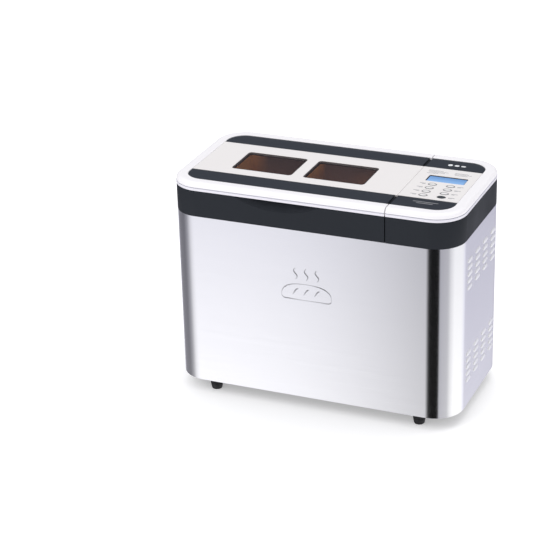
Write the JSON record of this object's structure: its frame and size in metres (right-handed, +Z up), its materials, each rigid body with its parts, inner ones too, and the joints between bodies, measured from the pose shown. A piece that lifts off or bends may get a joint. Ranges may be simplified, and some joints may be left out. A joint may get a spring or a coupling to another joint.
{
  "type": "bread machine",
  "caption": "Wide steel-bodied bread machine on rubber feet, with a rear-hinged windowed lid over a two-paddle pan and a raised display and key panel at one end.",
  "frame": {"origin": "centre of the footprint at the underside of the feet", "axes": "+X towards the control panel end, -Y towards the user, +Z up"},
  "size_m": [0.402, 0.206, 0.306],
  "materials": {
    "brushed_steel_skin": "satin brushed, fine horizontal grain",
    "black_sheet": "powder coated",
    "foot_rubber": "matte",
    "zinc_steel": "plated",
    "black_plastic": "satin moulded",
    "black_gloss": "semi-gloss",
    "white_plastic": "gloss moulded",
    "cream_plastic": "semi-gloss",
    "chamber_steel": "rolled sheet",
    "element_sheath": "heat oxidised",
    "bronze_bush": "sintered",
    "pulley_plastic": "moulded nylon",
    "belt_rubber": "matte",
    "motor_case": "painted",
    "capacitor_case": "gloss",
    "board_green": "solder mask",
    "nonstick_coat": "non-stick coating",
    "seal_rubber": "silicone",
    "bail_wire": "polished wire",
    "display_blue": "backlit liquid crystal display",
    "button_grey": "gloss moulded",
    "button_dark": "gloss moulded",
    "tinted_glass": "brown tint"
  },
  "bodies": {
    "housing": {"outer_wrap": "brushed_steel_skin", "base_plate": "black_sheet", "feet": "foot_rubber", "foot_screws": "zinc_steel", "cord_gland": "black_plastic", "deck_frame": "black_plastic", "chamber": "chamber_steel", "heating_element": "element_sheath", "temperature_sensor": "zinc_steel", "heat_shield": "zinc_steel", "pan_seat": "zinc_steel", "drive_plate": "zinc_steel", "shaft_bearings": "bronze_bush", "link_belt": "belt_rubber", "drive_belt": "belt_rubber", "motor": "motor_case", "motor_bracket": "zinc_steel", "capacitor": "capacitor_case", "power_board": "board_green", "control_frame": "black_plastic", "control_rim": "white_plastic", "control_front_trim": "black_gloss", "control_rear_trim": "black_gloss", "control_fascia": "cream_plastic", "display_lens": "display_blue", "display_module": "board_green", "control_board": "board_green", "tact_switches": "black_plastic", "hinge_brackets": "zinc_steel"},
    "lid": {"lid_frame": "black_plastic", "lid_rim": "white_plastic", "lid_front_trim": "black_gloss", "lid_rear_trim": "black_gloss", "lid_panel": "cream_plastic", "window_panes": "tinted_glass", "inner_panes": "tinted_glass", "lid_liner": "chamber_steel", "lid_seal": "seal_rubber", "hinge_pins": "zinc_steel"},
    "pan": {"bread_pan": "nonstick_coat", "pan_bushes": "seal_rubber", "bail_pivots": "zinc_steel"},
    "bail": {"bail_handle": "bail_wire"},
    "left_paddle": {"pan_shaft_left": "zinc_steel", "paddle_left": "nonstick_coat"},
    "right_paddle": {"pan_shaft_right": "zinc_steel", "paddle_right": "nonstick_coat"},
    "left_drive": {"drive_shaft_left": "zinc_steel", "pulley_left": "pulley_plastic"},
    "right_drive": {"drive_shaft_right": "zinc_steel", "pulley_right": "pulley_plastic"},
    "rotor": {"motor_pulley": "zinc_steel"},
    "button_menu": {"button_menu": "button_grey"},
    "button_crust": {"button_crust": "button_grey"},
    "button_size": {"button_size": "button_grey"},
    "button_light": {"button_light": "button_grey"},
    "button_time_up": {"button_time_up": "button_grey"},
    "button_time_down": {"button_time_down": "button_grey"},
    "button_pause": {"button_pause": "button_grey"},
    "button_start": {"button_start": "button_dark"}
  },
  "joints": [
    {"name": "lid_hinge", "type": "hinge", "parent": "housing", "child": "lid", "pos_m": [0, 0.093, 0.27], "axis": [-1, 0, 0], "range_deg": [0, 85]},
    {"name": "pan_lift", "type": "slide", "parent": "housing", "child": "pan", "axis": [0, 0, 1], "range_m": [0, 0.016]},
    {"name": "bail_swing", "type": "hinge", "parent": "pan", "child": "bail", "pos_m": [-0.046, 0, 0.224], "axis": [1, 0, 0], "range_deg": [0, 12]},
    {"name": "left_drive_spin", "type": "hinge", "parent": "housing", "child": "left_drive", "pos_m": [-0.101, 0, 0.05], "axis": [0, 0, 1], "continuous": true},
    {"name": "right_drive_spin", "type": "hinge", "parent": "housing", "child": "right_drive", "pos_m": [0.009, 0, 0.05], "axis": [0, 0, 1], "continuous": true},
    {"name": "motor_spin", "type": "hinge", "parent": "housing", "child": "rotor", "pos_m": [0.152, 0, 0.05], "axis": [0, 0, 1], "continuous": true},
    {"name": "left_paddle_spin", "type": "hinge", "parent": "pan", "child": "left_paddle", "pos_m": [-0.101, 0, 0.09], "axis": [0, 0, 1], "continuous": true},
    {"name": "right_paddle_spin", "type": "hinge", "parent": "pan", "child": "right_paddle", "pos_m": [0.009, 0, 0.09], "axis": [0, 0, 1], "continuous": true},
    {"name": "button_menu_press", "type": "slide", "parent": "housing", "child": "button_menu", "axis": [0, 0, -1], "range_m": [0, 0.0008], "stiffness_N_per_m": 200, "springref_m": -0.001},
    {"name": "button_crust_press", "type": "slide", "parent": "housing", "child": "button_crust", "axis": [0, 0, -1], "range_m": [0, 0.0008], "stiffness_N_per_m": 200, "springref_m": -0.001},
    {"name": "button_size_press", "type": "slide", "parent": "housing", "child": "button_size", "axis": [0, 0, -1], "range_m": [0, 0.0008], "stiffness_N_per_m": 200, "springref_m": -0.001},
    {"name": "button_light_press", "type": "slide", "parent": "housing", "child": "button_light", "axis": [0, 0, -1], "range_m": [0, 0.0008], "stiffness_N_per_m": 200, "springref_m": -0.001},
    {"name": "button_time_up_press", "type": "slide", "parent": "housing", "child": "button_time_up", "axis": [0, 0, -1], "range_m": [0, 0.0008], "stiffness_N_per_m": 200, "springref_m": -0.001},
    {"name": "button_time_down_press", "type": "slide", "parent": "housing", "child": "button_time_down", "axis": [0, 0, -1], "range_m": [0, 0.0008], "stiffness_N_per_m": 200, "springref_m": -0.001},
    {"name": "button_pause_press", "type": "slide", "parent": "housing", "child": "button_pause", "axis": [0, 0, -1], "range_m": [0, 0.0008], "stiffness_N_per_m": 200, "springref_m": -0.001},
    {"name": "button_start_press", "type": "slide", "parent": "housing", "child": "button_start", "axis": [0, 0, -1], "range_m": [0, 0.0008], "stiffness_N_per_m": 200, "springref_m": -0.001}
  ],
  "couplings": [
    {"joint": "right_drive_spin", "follows": "left_drive_spin", "ratio": 1},
    {"joint": "motor_spin", "follows": "left_drive_spin", "ratio": 4.3125},
    {"joint": "left_paddle_spin", "follows": "left_drive_spin", "ratio": 1},
    {"joint": "right_paddle_spin", "follows": "left_drive_spin", "ratio": 1}
  ]
}
